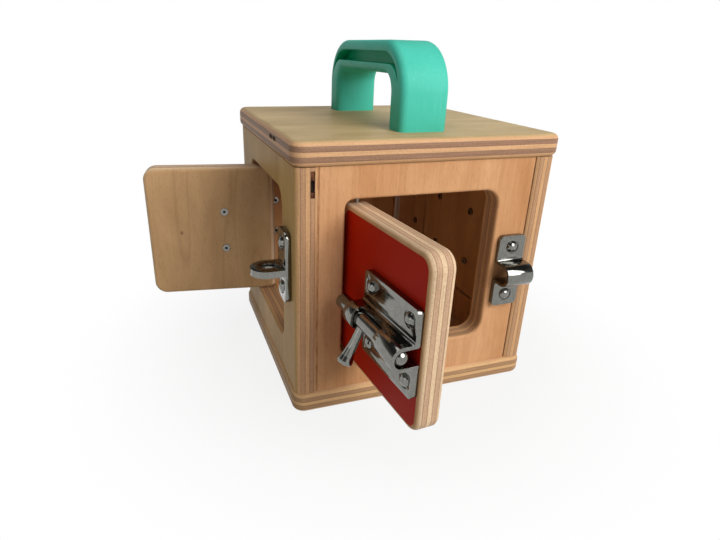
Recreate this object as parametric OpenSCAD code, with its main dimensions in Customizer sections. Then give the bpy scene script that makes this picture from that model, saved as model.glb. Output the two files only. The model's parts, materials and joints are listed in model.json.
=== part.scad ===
// Latch lock box: a plywood cube with four inset doors, each held by its own latch, and a carrying handle.
// Origin at the middle of the base's underside, front towards -Y, left towards -X, +Z up.
// Two frames repeat below. On a side or a door's face, X runs away from the hinge, Y up and Z outwards.

/* [Box] */
// Width over the left and right panels
body_w = 150; // [135:1:180]
// Depth over the front and back panels
body_d = 150; // [135:1:180]
// Height of the upright panels
body_h = 129; // [122:0.5:160]
// Thickness of the plywood of panels and doors
panel_t = 12.5; // [11:0.5:14]
// Thickness of the base
base_t = 12.5; // [9:0.5:18]
// Thickness of the lid
lid_t = 12.5; // [9:0.5:18]
// How far the side panels' edges stand proud of the front and back
edge_proud = 1; // [0.5:0.25:1.5]
// Round-over on the side panels' upright edges
edge_round = 4; // [2:0.5:5]
// How far the lid stands out past the panels
lid_over = 1.7; // [1:0.1:8]
// How far the base stands out past the panels
base_over = 1.5; // [1:0.5:8]
// Corner radius of lid and base in plan
slab_corner = 7; // [5:0.5:15]
// Round-over on the edges of lid and base
slab_round = 3.5; // [1:0.5:4]
// Length of the gap in the core ply on the left panel's front edge
core_gap_len = 13.4; // [6:0.2:20]
// Width of that gap, one ply
core_gap_w = 2.3; // [1:0.1:2.5]
// Depth of that gap
core_gap_deep = 4; // [1:0.5:8]
// Top of that gap below the lid
core_gap_drop = 1.8; // [0.6:0.2:6]
// Middle of that gap behind the panel's outer face
core_gap_in = 8.8; // [5:0.1:9]

/* [Doorways] */
// Wood beside the front and back doorways, mean of both ends
front_jamb = 29.5; // [27:0.5:32]
// Wood beside the left and right doorways, mean of both ends
side_jamb = 31.7; // [29:0.1:33]
// Height of each doorway
opening_h = 91; // [80:0.5:100]
// Height of the doorways' sill above the table
sill_z = 33.2; // [26:0.2:38]
// Corner radius of the doorways beside the latch
opening_corner = 9; // [6:0.5:14]
// Corner radius of the doorways beside the hinge
hinge_corner = 5; // [3:0.5:6]
// Round-over on the doorways' outer edge
opening_round = 1.5; // [0.5:0.25:3]
// Sideways shift of the front and back doorways, away from the latch
front_shift = 3.2; // [0:0.2:5]
// Sideways shift of the left and right doorways, away from the latch
side_shift = -2.7; // [-4:0.1:3]

/* [Doors] */
// Gap at a door's free edge
door_gap = 1.2; // [0.8:0.1:3]
// Gap over a door
door_gap_top = 3.1; // [1:0.1:4]
// Gap under a door
door_gap_bottom = 0.5; // [0.4:0.1:3]
// Gap between a door's rounded hinge edge and the jamb
hinge_gap = 1.8; // [1.5:0.1:4]
// How much the hinge edge's radius exceeds half the thickness
nose_extra = 0.35; // [0.2:0.05:0.6]
// Corner radius of a door
door_corner = 8; // [5:0.5:14]
// Round-over on a door's edges
door_round = 2.5; // [1:0.25:4]
// Thickness of the coloured face sheet
face_t = 0.4; // [0.2:0.1:1]
// Diameter of a pivot pin
pin_d = 2.4; // [1.6:0.1:4]
// How deep a pivot pin goes into a door
pin_in_door = 10; // [6:1:16]
// Front door's opening as shown
front_angle = 85; // [0:1:95]
// Left door's opening as shown
left_angle = 98; // [0:1:100]

/* [Rivets] */
// Diameter of a rivet's shank
rivet_d = 3; // [2:0.1:4]
// Diameter of a rivet's domed head
rivet_head_d = 7.2; // [6:0.1:7.4]
// Height of the head
rivet_head_h = 2.3; // [1.5:0.1:2.8]
// Depth of the recess that the head sits in
rivet_sink = 0.5; // [0.2:0.1:0.8]
// Gap round the head in its recess
rivet_ring = 0.5; // [0.2:0.1:0.6]
// Diameter of the rolled tail on the inside
rivet_tail_d = 5; // [4.4:0.1:7]
// Height of the rolled tail
rivet_tail_h = 1; // [0.6:0.1:2]

/* [Barrel bolt] */
// Height of the rod's axis above the table
bolt_z = 75.4; // [66:0.2:84]
// Thickness of bolt plate and keeper
bolt_t = 3.2; // [2:0.1:3.6]
// Wall of the barrel and of the keeper's bow
barrel_wall = 1.8; // [1.2:0.1:2.4]
// Plate's hinge end to the door's pivot
bolt_back = 31.2; // [26:0.2:33]
// Height of bolt plate and keeper
bolt_h = 44; // [40:1:52]
// Plate's end to the door's free edge
bolt_inset = 2.2; // [2:0.1:8]
// Rivets to the plate's ends
bolt_rivet_end = 6.5; // [5:0.5:8]
// Rivet spacing up the plate and the keeper
bolt_rivet_rise = 30; // [28:1:36]
// Diameter of the rod
rod_d = 8; // [6.5:0.1:8.5]
// How far the rod's tail stands out behind the plate
rod_tail = 15.5; // [10:0.5:17]
// How far the rod's nose passes the plate when drawn back
rod_nose = 0.5; // [0:0.1:1.5]
// Travel of the rod
rod_travel = 15; // [11:0.5:18]
// Height of the rod's axis over the face
rod_lift = 8.5; // [7.5:0.1:10]
// Length of the rear loop of the plate
rear_loop = 8; // [6:0.5:11]
// Diameter of the knob's stem
stem_d = 4.4; // [3:0.1:5]
// Diameter of the knob's flared end
knob_d = 7.8; // [6:0.1:9]
// Length of the knob from the rod's axis
knob_len = 23; // [18:0.5:30]
// Lean of the hanging knob, out from straight down
knob_lean = 26; // [23:1:40]
// Width of the keeper
keeper_w = 16.8; // [12:0.2:17]
// Keeper's near edge to the doorway
keeper_gap = 3.2; // [3:0.1:5]
// Play between rod and keeper
keeper_play = 0.85; // [0.3:0.05:1.2]

/* [Cabin hook] */
// Height of the hook's pivot
hook_z = 91.5; // [84:0.5:94]
// Hook's pivot to the door's pivot
hook_back = 27.3; // [22:0.1:34]
// Pivot down to the lower rivet
hook_rivet_drop = 25.7; // [20:0.1:32]
// Width of hook plate and catch plate
hook_plate_w = 17.5; // [15:0.5:18]
// Thickness of hook plate and catch
hook_t = 3.2; // [2:0.1:3.6]
// Diameter of the hook's rod
hook_d = 4.2; // [3:0.1:5]
// Hook's axis over the face
hook_lift = 10.8; // [9.5:0.1:13]
// Bent tip's end below the hook's axis
hook_drop = 11.5; // [9:0.5:15]
// Catch plate's middle to the doorway
catch_gap = 12.2; // [11:0.2:16]
// Height of the catch plate
catch_h = 40.5; // [36:0.5:48]
// Rivet spacing on the catch
catch_rise = 25.3; // [22:0.1:30]
// Tongue's upper face below the hook's axis
tongue_drop = 5.5; // [4:0.25:7]
// Thickness of the tongue
tongue_t = 3.8; // [2:0.1:4.2]
// How far the tongue reaches out
tongue_len = 20.4; // [18:0.2:24]

/* [Slide latch] */
// Height of slide latch and hasp
slide_z = 76; // [70:0.5:82]
// Thickness of plate and keeper
slide_t = 1.6; // [1:0.1:2]
// First rivets to the door's pivot
slide_back = 13; // [12:0.5:16]
// Rivet spacing up the plate
slide_rise = 36; // [32:1:42]
// Last rivets to the door's free edge
slide_inset = 22; // [18:0.5:23]
// Plate's edge past its rivets
slide_margin = 5; // [4:0.5:7]
// Width of the sliding bar
bar_w = 10; // [8:0.5:10]
// Thickness of the bar
bar_t = 3.8; // [2:0.1:4.5]
// Play of the bar in plate and keeper
bar_play = 0.35; // [0.2:0.05:0.6]
// Travel of the bar
bar_travel = 21; // [16:1:22]
// Bar's end to the free edge when drawn back
bar_inset = 1.5; // [1:0.1:4]
// Diameter of the bar's knob
bar_knob_d = 12; // [8:0.5:14]
// Width of its keeper
bar_keeper_w = 14; // [10:0.5:18]
// Rivet spacing on the keepers of slide and hasp
small_rise = 23.5; // [23.5:0.5:26]
// Middle of the keepers of slide and hasp to the doorway
small_gap = 12.6; // [11:0.2:15]

/* [Hasp] */
// Thickness of the hasp's plates
hasp_t = 1.6; // [1.2:0.1:2]
// Height of leaf and strap
hasp_h = 25; // [24:1:30]
// Hinge axis to the door's free edge
hasp_inset = 19.5; // [17:0.5:24]
// Length of the leaf
leaf_len = 26; // [22:1:32]
// Strap's end past the turn button
strap_past = 11; // [9:0.5:16]
// Radius of the knuckles
knuckle_r = 2.8; // [2.4:0.1:3.2]
// Height of the hinge axis over the face
hasp_lift = 3.2; // [3:0.1:4]
// Diameter of the hasp's pin
hasp_pin_d = 2.4; // [1.6:0.1:2.6]
// Strap's swing from shut, as shown
strap_angle = 135; // [0:1:140]
// Length of the turn button
button_len = 13; // [10:0.5:14]
// Width of the turn button
button_w = 5.4; // [4:0.2:6]
// Thickness of the turn button
button_t = 3.2; // [2:0.2:5]
// Play of the turn button in the strap's slot
slot_play = 0.8; // [0.5:0.1:1.2]

/* [Handle] */
// Length of the handle, front to back
handle_len = 118.7; // [100:0.1:130]
// Width of the handle
handle_w = 28; // [22:1:36]
// Height of the handle above the lid
handle_h = 45; // [40:1:55]
// Thickness of the handle's bar and legs
handle_t = 17; // [14:0.5:19]
// Inner bend radius
handle_bend = 10; // [6:0.5:14]
// Round-over along the handle
handle_round = 4; // [1.5:0.5:6]
// Outer wall left over the side groove
groove_wall = 5.5; // [4:0.5:7]
// Height of the side groove
groove_h = 6.5; // [3:0.5:7]
// Depth of the side groove
groove_deep = 8; // [3:0.5:9]
// Height of the groove's ends above the lid
groove_end = 25; // [20:0.5:30]
// Diameter of the handle's screws
screw_d = 4; // [3:0.5:5]
// Diameter of the screws' heads
screw_head_d = 8; // [6:0.5:10]
// Height of the screws' heads
screw_head_h = 3; // [2:0.5:5]
// How far a screw goes into a leg
screw_in = 16; // [10:1:22]

/* [Hidden] */
$fn = 64;
// Clearance of a turning or sliding fit, and of a piece pressed or riveted in
run_fit = 0.05;
snug_fit = 0.02;
// Overshoot of cutting shapes
over = 1;
// End clearance beside turning pieces
end_play = 0.3;
// Wall of a rivet's hollow tail
tail_wall = 0.6;

// Derived sizes of the box and its doors
wall_z = base_t;
lid_z = base_t + body_h;
top_z = lid_z + lid_t;
side_len = body_d + 2 * edge_proud;
inner_w = body_w - 2 * panel_t;
opening_mid_z = sill_z + opening_h / 2;
opening_top = sill_z + opening_h;
nose_r = panel_t / 2 + nose_extra;
pivot_inset = nose_r + hinge_gap;
door_z0 = sill_z + door_gap_bottom;
door_z1 = opening_top - door_gap_top;
door_mid_z = (door_z0 + door_z1) / 2;
pin_r = pin_d / 2;

// Sides in turn: front, right, back, left
FRONT = 0;
RIGHT = 1;
BACK = 2;
LEFT = 3;
function face_at(side) = side % 2 == 0 ? body_d / 2 : body_w / 2;
function shift(side) = side % 2 == 0 ? -front_shift : -side_shift;
function opening(side) = side % 2 == 0 ? body_w - 2 * front_jamb : body_d - 2 * side_jamb;
function door_len(side) = opening(side) - pivot_inset - door_gap;
function pivot_x(side) = shift(side) - opening(side) / 2 + pivot_inset;
function latch_edge(side) = shift(side) + opening(side) / 2;
function rest_angle(side) = side == FRONT ? front_angle : side == LEFT ? left_angle : 0;

// Barrel bolt, along the door from the pivot
bolt_s1 = door_len(FRONT) - bolt_inset;
bolt_s0 = bolt_back;
bolt_pitch = bolt_s1 - bolt_s0 - 2 * bolt_rivet_end;
bolt_bend = 1.5;
bolt_corner = 2.5;
barrel_play = 0.3;
barrel_r = rod_d / 2 + barrel_play;
window_s0 = bolt_s0 + rear_loop;
window_margin = 1.4;
stem_clear = stem_d / 2 + window_margin;
knob_s = window_s0 + stem_clear;
window_s1 = knob_s + rod_travel + stem_clear;
window_drop = max(0, (stem_d / 2 + end_play - barrel_r * sin(knob_lean)) / cos(knob_lean));
rod_r = rod_d / 2;
rod_s0 = bolt_s0 - rod_tail;
rod_s1 = bolt_s1 + rod_nose;
neck_deep = 1.2;
neck_r = rod_r - neck_deep;
collar_wall = 0.8;
neck_w = stem_d + 2 * collar_wall;
keeper_x = latch_edge(FRONT) + keeper_gap + keeper_w / 2;

// Cabin hook
hook_s = hook_back;
catch_x = latch_edge(LEFT) + catch_gap;
hook_reach = catch_x - pivot_x(LEFT) - hook_s;
hook_r = hook_d / 2;
hook_bend = 4;
plate_round = 4.5;
plate_end = (catch_h - catch_rise) / 2;
eye_wall = 3.3;
eye_r = hook_r + eye_wall;
pivot_d = 4;
cap_h = 2.6;
tongue_z = hook_z - tongue_drop;
catch_mid_z = tongue_z;
tongue_w = hook_plate_w;
hole_play = 1;
hole_long = 0.6;
catch_hole_w = hook_d + 2 * hole_play;
catch_hole_l = catch_hole_w + hole_long;

// Slide latch
bar_s1 = door_len(RIGHT) - bar_inset;
slide_s1 = door_len(RIGHT) - slide_inset + slide_margin;
slide_s0 = slide_back - slide_margin;
slide_pitch = slide_s1 - slide_s0 - 2 * slide_margin;
bar_tail_in = 4;
bar_s0 = slide_s0 + bar_tail_in;
bar_knob_in = 11;
bar_knob_s = slide_s0 + bar_knob_in;
bar_knob_h = 6.2;
bar_knob_clear = 1;
bar_knob_edge = 1;
bar_stem_d = 5;
bar_rivet_d = 4;
slide_corner = 4;
channel_r = bar_w / 2 + bar_play;
channel_h = bar_t + 2 * bar_play;
bar_keeper_x = latch_edge(RIGHT) + small_gap;
small_margin = 4.8;
bar_keeper_corner = 2;

// Hasp
hinge_s = door_len(BACK) - hasp_inset;
button_x = latch_edge(BACK) + small_gap;
button_s = button_x - pivot_x(BACK);
strap_reach = button_s - hinge_s;
knuckle_len = hasp_h / 3;
leaf_margin = 5.2;
leaf_pitch = leaf_len / 2;
leaf_corner = 3;
strap_corner = 4;
staple_plate_t = 2;
staple_w = 14.5;
staple_past = 1.5;
button_neck_d = button_w * 0.92;
strap_clear = 0.6;
button_z0 = hasp_lift + knuckle_r + strap_clear;
strap_neck = 2;
slot_w = button_w + 2 * slot_play;
slot_l = button_len + 2 * slot_play;

// Handle
leg_mid = handle_len / 2 - handle_t / 2;
bend_mid = handle_bend + handle_t / 2;

// Frames

// A side of the box turned into its place, drawn as the front
module on_side(side) {
    rotate([0, 0, 90 * side]) children();
}

// The outer face of a side: X along it, Y up, Z outwards
module on_face(side) {
    on_side(side) translate([0, -face_at(side), 0]) rotate([90, 0, 0]) children();
}

// A door at its rest angle: X from the pivot to the free edge, outer face towards -Y
module in_door(side) {
    on_side(side)
        translate([pivot_x(side), -face_at(side) + panel_t / 2, 0])
        rotate([0, 0, -rest_angle(side)])
        children();
}

// The outer face of a door: X from the pivot, Y up, Z outwards
module on_door(side) {
    in_door(side) translate([0, -panel_t / 2, 0]) rotate([90, 0, 0]) children();
}

// A profile with X up and Y outwards, drawn out along X of a face
module along(from, to) {
    translate([from, 0, 0]) rotate([90, 0, 90]) linear_extrude(to - from) children();
}

// Shared shapes

module round_rect(w, h, r) {
    square([w - 2 * r, h], center = true);
    square([w, h - 2 * r], center = true);
    for (x = [-1, 1], y = [-1, 1]) translate([x * (w / 2 - r), y * (h / 2 - r)]) circle(r);
}

// Half of a rounded bar's section, for the rim of a plate
module rim_section(corner, t, r) {
    intersection() {
        round_rect(2 * corner, t, r);
        translate([0, -t / 2]) square([corner, t]);
    }
}

// A flat plate with round corners and rounded edges all the way round
module soft_plate(w, h, t, corner, r) {
    rotate([90, 0, 0]) linear_extrude(h - 2 * corner, center = true) round_rect(w, t, r);
    for (end = [-1, 1]) {
        translate([-end * (w / 2 - corner), end * (h / 2 - corner), 0])
            rotate([90, 0, end * 90])
            linear_extrude(w - 2 * corner)
            rim_section(corner, t, r);
    }
    for (x = [-1, 1], y = [-1, 1]) {
        turn = x > 0 ? (y > 0 ? 0 : 270) : (y > 0 ? 90 : 180);
        translate([x * (w / 2 - corner), y * (h / 2 - corner), 0])
            rotate([0, 0, turn])
            rotate_extrude(angle = 90)
            rim_section(corner, t, r);
    }
}

// Domed head, shank and rolled hollow tail; the plate's face is at Z = seat, the far face at Z = -depth
module rivet(seat, depth) {
    dome_r = (pow(rivet_head_d / 2, 2) + pow(rivet_head_h, 2)) / (2 * rivet_head_h);
    tail_bore = rivet_d / 2 - tail_wall;
    rotate_extrude() {
        translate([0, seat]) intersection() {
            translate([0, rivet_head_h - dome_r]) circle(dome_r);
            square([rivet_head_d / 2, rivet_head_h]);
        }
        translate([0, -depth + rivet_tail_h]) square([rivet_d / 2, depth + seat - rivet_tail_h]);
        translate([tail_bore, -depth]) square([rivet_d / 2 - tail_bore, rivet_tail_h]);
        translate([tail_bore, -depth - rivet_tail_h]) square([rivet_tail_d / 2 - tail_bore, rivet_tail_h]);
    }
}

module rivet_hole(through) {
    translate([0, 0, -over]) cylinder(d = rivet_d + 2 * snug_fit, h = through + 2 * over);
}

// Hole in a plate of thickness t with a recess for the head
module rivet_seat(t) {
    rivet_hole(t);
    translate([0, 0, t - rivet_sink]) cylinder(d = rivet_head_d + 2 * rivet_ring, h = rivet_sink + over);
}

// Rivets through a plate of thickness t and the plywood behind it
module rivets(places, t) {
    for (p = places) translate(p) rivet(t - rivet_sink, panel_t);
}

// Rivet places on each plate: along, up
bolt_rivets = [for (i = [0, 1], j = [-1, 1])
    [bolt_s1 - bolt_rivet_end - i * bolt_pitch, bolt_z + j * bolt_rivet_rise / 2]];
keeper_rivets = [for (j = [-1, 1]) [keeper_x, bolt_z + j * bolt_rivet_rise / 2]];
hook_rivets = [[hook_s, hook_z - hook_rivet_drop]];
catch_rivets = [for (j = [-1, 1]) [catch_x, catch_mid_z + j * catch_rise / 2]];
slide_rivets = [for (i = [0, 1], j = [-1, 1])
    [slide_s1 - slide_margin - i * slide_pitch, slide_z + j * slide_rise / 2]];
slide_keeper_places = [for (j = [-1, 1]) [bar_keeper_x, slide_z + j * small_rise / 2]];
leaf_rivets = [for (i = [0, 1], j = [-1, 1])
    [hinge_s - leaf_len + leaf_margin + i * leaf_pitch, slide_z + j * (hasp_h / 2 - leaf_margin)]];
staple_rivets = [for (j = [-1, 1]) [button_x, slide_z + j * small_rise / 2]];
DOOR_RIVETS = [bolt_rivets, slide_rivets, leaf_rivets, hook_rivets];
PANEL_RIVETS = [keeper_rivets, slide_keeper_places, staple_rivets, catch_rivets];

// Plywood box

module base_panel() {
    color("burlywood")
        translate([0, 0, base_t / 2])
        soft_plate(body_w + 2 * base_over, side_len + 2 * base_over, base_t, slab_corner, slab_round);
}

module lid_panel() {
    color("burlywood") difference() {
        translate([0, 0, lid_z + lid_t / 2])
            soft_plate(body_w + 2 * lid_over, side_len + 2 * lid_over, lid_t, slab_corner, slab_round);
        for (end = [-1, 1]) translate([0, end * leg_mid, lid_z]) {
            translate([0, 0, -over]) cylinder(d = screw_d + 2 * snug_fit, h = lid_t + 2 * over);
            translate([0, 0, -over]) cylinder(d = screw_head_d + 2 * snug_fit, h = screw_head_h + over);
        }
    }
}

// Doorway with its outer edge rounded over, cut from a side's outer face at Z = 0
module doorway(side) {
    w = opening(side);
    translate([shift(side), opening_mid_z, 0]) {
        translate([0, 0, -panel_t - over]) linear_extrude(panel_t + 2 * over) {
            half_rect(w, opening_h, opening_corner);
            mirror([1, 0]) half_rect(w, opening_h, hinge_corner);
        }
        corners = [opening_corner, hinge_corner, hinge_corner, opening_corner];
        doorway_flare(w, opening_h, corners, opening_round);
    }
}

// The half of a rounded rectangle on the side of +X
module half_rect(w, h, r) {
    intersection() {
        round_rect(w, h, r);
        translate([0, -h / 2]) square([w, h]);
    }
}

// Section of the wood taken off a square edge that is rounded over, edge towards -X, face up at Y = 0
module round_over_section(r) {
    difference() {
        translate([-over, -r]) square([over + r, r + over]);
        translate([r, -r]) circle(r);
        translate([r, -r]) square([over, r + 2 * over]);
    }
}

// Round-over all round a doorway, its corner radii listed from the upper right one leftwards
module doorway_flare(w, h, corners, r) {
    for (i = [0 : 3]) rotate([0, 0, 90 * i]) {
        half = i % 2 == 0 ? w / 2 : h / 2;
        reach = i % 2 == 0 ? h / 2 : w / 2;
        from = -reach + corners[(i + 3) % 4];
        to = reach - corners[i];
        translate([half, to, 0]) rotate([90, 0, 0]) linear_extrude(to - from) round_over_section(r);
        translate([half - corners[i], to, 0]) rotate_extrude(angle = 90)
            translate([corners[i], 0]) round_over_section(r);
    }
}

// Holes that a side's pins and rivets pass through
module panel_holes(side) {
    for (p = PANEL_RIVETS[side]) translate([p[0], p[1], -panel_t]) rivet_hole(panel_t);
    translate([pivot_x(side), wall_z - over, -panel_t / 2]) rotate([-90, 0, 0])
        cylinder(r = pin_r + snug_fit, h = body_h + 2 * over);
}

module cross_panel(side) {
    color("burlywood") on_face(side) difference() {
        translate([-inner_w / 2, wall_z, -panel_t]) cube([inner_w, body_h, panel_t]);
        doorway(side);
        panel_holes(side);
    }
}

module long_panel(side) {
    color("burlywood") on_face(side) difference() {
        translate([0, wall_z, -panel_t / 2]) rotate([-90, 0, 0])
            linear_extrude(body_h) round_rect(side_len, panel_t, edge_round);
        doorway(side);
        panel_holes(side);
        if (side == LEFT) core_gap();
    }
}

// Gap in the middle ply, open at the front edge near the lid
module core_gap() {
    bottom = lid_z - core_gap_drop - core_gap_len;
    translate([side_len / 2 - core_gap_deep, bottom, -core_gap_in - core_gap_w / 2])
        cube([core_gap_deep + over, core_gap_len, core_gap_w]);
}

module left_panel() { long_panel(LEFT); }
module right_panel() { long_panel(RIGHT); }
module front_panel() { cross_panel(FRONT); }
module back_panel() { cross_panel(BACK); }

// Doors

// Outline of the face sheet, seen on the door's face
module face_outline(side) {
    inset = door_round;
    from = -nose_extra;
    w = door_len(side) - inset - from;
    translate([from + w / 2, door_mid_z]) round_rect(w, door_z1 - door_z0 - 2 * inset, door_corner - inset);
}

module door(side) {
    hinge_end = nose_r + over;
    len = door_len(side);
    color("burlywood") in_door(side) difference() {
        intersection() {
            translate([(len - hinge_end) / 2, 0, door_mid_z]) rotate([90, 0, 0])
                soft_plate(len + hinge_end, door_z1 - door_z0, panel_t, door_corner, door_round);
            union() {
                translate([0, 0, door_z0 - over]) cylinder(r = nose_r, h = door_z1 - door_z0 + 2 * over);
                translate([0, -panel_t / 2 - over, door_z0 - over])
                    cube([len + over, panel_t + 2 * over, door_z1 - door_z0 + 2 * over]);
            }
        }
        translate([0, -panel_t / 2 + face_t, 0]) rotate([90, 0, 0])
            linear_extrude(face_t + over) face_outline(side);
        for (p = DOOR_RIVETS[side]) translate([p[0], panel_t / 2, p[1]]) rotate([90, 0, 0])
            rivet_hole(panel_t);
        if (side == LEFT) translate([hook_s, panel_t / 2, hook_z]) rotate([90, 0, 0])
            rivet_hole(panel_t);
        for (z = [door_z0 - over, door_z1 - pin_in_door - end_play]) translate([0, 0, z])
            cylinder(r = pin_r + run_fit, h = pin_in_door + end_play + over);
    }
}

module door_face(side, tint) {
    color(tint) on_door(side) difference() {
        translate([0, 0, -face_t]) linear_extrude(face_t) face_outline(side);
        for (p = DOOR_RIVETS[side]) translate([p[0], p[1], -face_t]) rivet_hole(face_t);
        if (side == LEFT) translate([hook_s, hook_z, -face_t]) rivet_hole(face_t);
    }
}

// Upper and lower pivot pins, driven through the panel's ends into the door
module hinge_pins(side) {
    color("silver") on_side(side)
        translate([pivot_x(side), -face_at(side) + panel_t / 2, 0]) {
            translate([0, 0, wall_z]) cylinder(r = pin_r, h = door_z0 + pin_in_door - wall_z);
            translate([0, 0, door_z1 - pin_in_door]) cylinder(r = pin_r, h = lid_z - door_z1 + pin_in_door);
        }
}

module front_door() { door(FRONT); }
module right_door() { door(RIGHT); }
module back_door() { door(BACK); }
module left_door() { door(LEFT); }
module front_door_face() { door_face(FRONT, "firebrick"); }
module right_door_face() { door_face(RIGHT, "gold"); }
module back_door_face() { door_face(BACK, "seagreen"); }
module left_door_face() { door_face(LEFT, "royalblue"); }
module front_hinge_pins() { hinge_pins(FRONT); }
module right_hinge_pins() { hinge_pins(RIGHT); }
module back_hinge_pins() { hinge_pins(BACK); }
module left_hinge_pins() { hinge_pins(LEFT); }

// Barrel bolt on the front door

// Strap over the rod: thick flanges, filleted into thinner walls and a half-round crown
module omega_section(h, t, inner, wall, lift) {
    outer = inner + wall;
    for (m = [0, 1]) mirror([m, 0]) {
        difference() {
            union() {
                translate([inner, 0]) square([h / 2 - inner, t]);
                translate([inner, 0]) square([wall, lift]);
                translate([outer, t]) square(bolt_bend);
            }
            translate([outer + bolt_bend, t + bolt_bend]) circle(bolt_bend);
            translate([inner - over, -over]) square(over + bolt_bend);
        }
        intersection() {
            translate([inner + bolt_bend, bolt_bend]) circle(bolt_bend);
            translate([inner, 0]) square(bolt_bend);
        }
    }
    intersection() {
        translate([0, lift]) difference() {
            circle(outer);
            circle(inner);
        }
        translate([-outer, lift]) square([2 * outer, outer]);
    }
}

// A bent strap trimmed to round corners, with holes for its rivets
module strap_plate(from, to, mid_z, h, t, inner, wall, lift, places) {
    difference() {
        intersection() {
            translate([0, mid_z, 0]) along(from, to) omega_section(h, t, inner, wall, lift);
            translate([(from + to) / 2, mid_z, -over]) linear_extrude(lift + inner + wall + 2 * over)
                round_rect(to - from, h, bolt_corner);
        }
        for (p = places) translate(p) rivet_seat(t);
    }
}

module bolt_plate() {
    crown = barrel_r + barrel_wall + over;
    color("silver") on_door(FRONT) difference() {
        strap_plate(bolt_s0, bolt_s1, bolt_z, bolt_h, bolt_t, barrel_r, barrel_wall, rod_lift, bolt_rivets);
        translate([window_s0, bolt_z - crown, rod_lift - window_drop])
            cube([window_s1 - window_s0, 2 * crown, crown + window_drop]);
    }
}

module bolt_plate_rivets() {
    color("gainsboro") on_door(FRONT) rivets(bolt_rivets, bolt_t);
}

// Round rod with domed ends and a neck that the knob's collar turns on
module bolt_rod() {
    rod_len = rod_s1 - rod_s0;
    dome = rod_r * 0.7;
    dome_r = (pow(rod_r, 2) + pow(dome, 2)) / (2 * dome);
    color("silver") on_door(FRONT)
        translate([rod_s0, bolt_z, rod_lift]) rotate([0, 90, 0]) rotate_extrude() {
            difference() {
                translate([0, dome]) square([rod_r, rod_len - 2 * dome]);
                translate([neck_r, knob_s - rod_s0 - neck_w / 2]) square([rod_r, neck_w]);
            }
            intersection() {
                translate([0, dome_r]) circle(dome_r);
                square([rod_r, dome]);
            }
            intersection() {
                translate([0, rod_len - dome_r]) circle(dome_r);
                translate([0, rod_len - dome]) square([rod_r, dome]);
            }
        }
}

// Knob on a collar, flaring towards its end, hanging down and a little outwards
module bolt_knob() {
    collar_w = neck_w - 2 * run_fit;
    stem_r = stem_d / 2;
    end_r = knob_d / 2;
    swell = end_r - stem_r;
    rim = end_r * 0.25;
    color("silver") on_door(FRONT) translate([knob_s, bolt_z, rod_lift]) difference() {
        union() {
            translate([-collar_w / 2, 0, 0]) rotate([0, 90, 0]) cylinder(r = rod_r, h = collar_w);
            rotate([90 - knob_lean, 0, 0]) rotate_extrude() polygon([
                [0, 0], [stem_r, 0], [stem_r, knob_len * 0.45], [stem_r + swell * 0.2, knob_len * 0.62],
                [stem_r + swell * 0.6, knob_len * 0.8], [end_r, knob_len * 0.91],
                [end_r, knob_len - rim], [end_r - rim * 0.4, knob_len - rim * 0.3], [end_r - rim, knob_len],
                [0, knob_len]
            ]);
        }
        translate([-neck_w / 2 - over, 0, 0]) rotate([0, 90, 0])
            cylinder(r = neck_r + run_fit, h = neck_w + 2 * over);
    }
}

module bolt_keeper() {
    color("silver") on_face(FRONT) strap_plate(keeper_x - keeper_w / 2, keeper_x + keeper_w / 2,
        bolt_z, bolt_h, bolt_t, rod_r + keeper_play, barrel_wall, rod_lift, keeper_rivets);
}

module bolt_keeper_rivets() {
    color("gainsboro") on_face(FRONT) rivets(keeper_rivets, bolt_t);
}

// Cabin hook on the left door

module hook_plate() {
    color("silver") on_door(LEFT) difference() {
        translate([hook_s, hook_z - hook_rivet_drop / 2, 0]) linear_extrude(hook_t)
            round_rect(hook_plate_w, hook_rivet_drop + 2 * plate_end, plate_round);
        translate([hook_s, hook_z, 0]) rivet_hole(hook_t);
        for (p = hook_rivets) translate(p) rivet_seat(hook_t);
    }
}

module hook_rivet() {
    color("gainsboro") on_door(LEFT) rivets(hook_rivets, hook_t);
}

// Shouldered rivet: spacer, journal for the hook's eye and a domed cap
module hook_pivot() {
    eye_z0 = hook_lift - hook_r - end_play;
    eye_z1 = hook_lift + hook_r + end_play;
    color("gainsboro") on_door(LEFT) translate([hook_s, hook_z, 0]) {
        rivet(hook_t, panel_t);
        translate([0, 0, hook_t]) cylinder(r = eye_r, h = eye_z0 - hook_t);
        translate([0, 0, hook_t]) cylinder(d = pivot_d, h = eye_z1 - hook_t);
        translate([0, 0, eye_z1]) rotate_extrude() polygon([
            [0, 0], [eye_r, 0], [eye_r, cap_h * 0.3], [eye_r * 0.8, cap_h * 0.7],
            [eye_r * 0.45, cap_h * 0.93], [0, cap_h]
        ]);
    }
}

// Eye, straight rod and bent tip, hanging straight down
module hook_arm() {
    bend_at = hook_reach - hook_bend;
    color("silver") on_door(LEFT) translate([hook_s, hook_z, hook_lift]) rotate([0, 0, -90]) difference() {
        union() {
            translate([0, 0, -hook_r]) cylinder(r = eye_r, h = hook_d);
            rotate([0, 90, 0]) cylinder(r = hook_r, h = bend_at);
            translate([bend_at, -hook_bend, 0]) rotate_extrude(angle = 90)
                translate([hook_bend, 0]) circle(hook_r);
            translate([hook_reach, -hook_bend, 0]) rotate([90, 0, 0])
                cylinder(r = hook_r, h = hook_drop - hook_bend - hook_r);
            translate([hook_reach, -hook_drop + hook_r, 0]) sphere(hook_r);
        }
        translate([0, 0, -hook_r - over]) cylinder(d = pivot_d + 2 * run_fit, h = hook_d + 2 * over);
    }
}

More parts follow.
